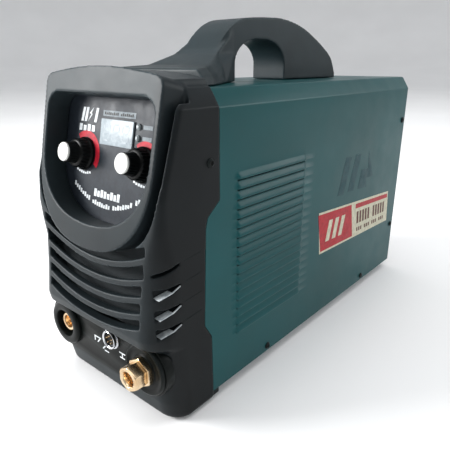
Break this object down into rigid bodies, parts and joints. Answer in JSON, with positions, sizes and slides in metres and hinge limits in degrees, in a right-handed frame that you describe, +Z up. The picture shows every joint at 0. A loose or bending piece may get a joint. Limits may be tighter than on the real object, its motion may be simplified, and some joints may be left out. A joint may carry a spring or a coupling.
{
  "type": "tig welding machine",
  "caption": "Portable inverter TIG welder: teal folded steel cover, black hooded front with knobs, display and weld sockets, arched carry handle, louvred sides, rear fan.",
  "frame": {"origin": "on the floor under the middle of the machine's bounding box", "axes": "+X to the machine's right as seen from the front, +Y from the front towards the rear panel, +Z up"},
  "size_m": [0.1604, 0.4723, 0.3181],
  "materials": {
    "black_plastic": "satin moulded",
    "teal_paint": "semi-gloss powder coat",
    "zinc_steel": "zinc plated",
    "brass": "turned",
    "chrome": "polished",
    "rubber": "matte",
    "panel_film": "satin film",
    "pale_plastic": "semi-gloss",
    "lens": "clear window over a pale display",
    "lamp": "frosted",
    "aluminium": "extruded",
    "circuit_board": "solder mask",
    "ferrite": "sintered",
    "copper": "enamelled wire",
    "capacitor_sleeve": "sleeve"
  },
  "bodies": {
    "machine": {"front_bezel": "black_plastic", "cover": "teal_paint", "carry_handle": "black_plastic", "control_panel": "panel_film", "display_window": "lens", "display_module": "black_plastic", "power_lamp": "lamp", "fault_lamp": "lamp", "current_potentiometer": "aluminium", "gas_potentiometer": "aluminium", "control_board": "circuit_board", "connector_panel": "black_plastic", "weld_socket_body": "black_plastic", "weld_socket_insert": "brass", "torch_socket_base": "black_plastic", "torch_socket_nut": "brass", "torch_socket_body": "brass", "control_socket_shell": "chrome", "control_socket_insert": "black_plastic", "chassis_tray": "zinc_steel", "foot_front_left": "rubber", "foot_front_right": "rubber", "foot_rear_left": "rubber", "foot_rear_right": "rubber", "rear_panel": "black_plastic", "fan_frame": "black_plastic", "fan_guard": "zinc_steel", "power_switch_frame": "black_plastic", "cable_gland": "black_plastic", "gas_inlet": "brass", "earth_stud": "zinc_steel", "screw_cheek_left": "black_plastic", "screw_cheek_right": "black_plastic", "screw_back_upper_left": "black_plastic", "screw_back_upper_right": "black_plastic", "screw_back_lower_left": "black_plastic", "screw_back_lower_right": "black_plastic", "screw_base_front_left": "black_plastic", "screw_base_front_right": "black_plastic", "screw_base_rear_left": "black_plastic", "screw_base_rear_right": "black_plastic", "heatsink_lower": "aluminium", "heatsink_upper": "aluminium", "dust_filter": "rubber", "main_board": "circuit_board", "bus_capacitor_left": "capacitor_sleeve", "bus_capacitor_right": "capacitor_sleeve", "transformer_core": "ferrite", "transformer_winding": "copper", "choke_core": "ferrite", "choke_winding": "copper", "gas_valve": "brass"},
    "current_dial": {"current_knob": "black_plastic", "current_knob_cap": "pale_plastic", "current_shaft": "aluminium"},
    "gas_dial": {"gas_knob": "black_plastic", "gas_knob_cap": "pale_plastic", "gas_shaft": "aluminium"},
    "rocker": {"power_switch_rocker": "rubber"},
    "fan": {"fan_rotor": "black_plastic"}
  },
  "joints": [
    {"name": "current_knob_turn", "type": "hinge", "parent": "machine", "child": "current_dial", "pos_m": [-0.03675, -0.194, 0.2055], "axis": [0, -0.9766, 0.2149], "range_deg": [-140, 140]},
    {"name": "gas_knob_turn", "type": "hinge", "parent": "machine", "child": "gas_dial", "pos_m": [0.03675, -0.194, 0.2055], "axis": [0, -0.9766, 0.2149], "range_deg": [-140, 140]},
    {"name": "rocker_tilt", "type": "hinge", "parent": "machine", "child": "rocker", "pos_m": [0.044, 0.2109, 0.227], "axis": [0, 0, 1], "range_deg": [0, 17]},
    {"name": "fan_spin", "type": "hinge", "parent": "machine", "child": "fan", "pos_m": [0, 0, 0.15], "axis": [0, 1, 0], "continuous": true}
  ]
}
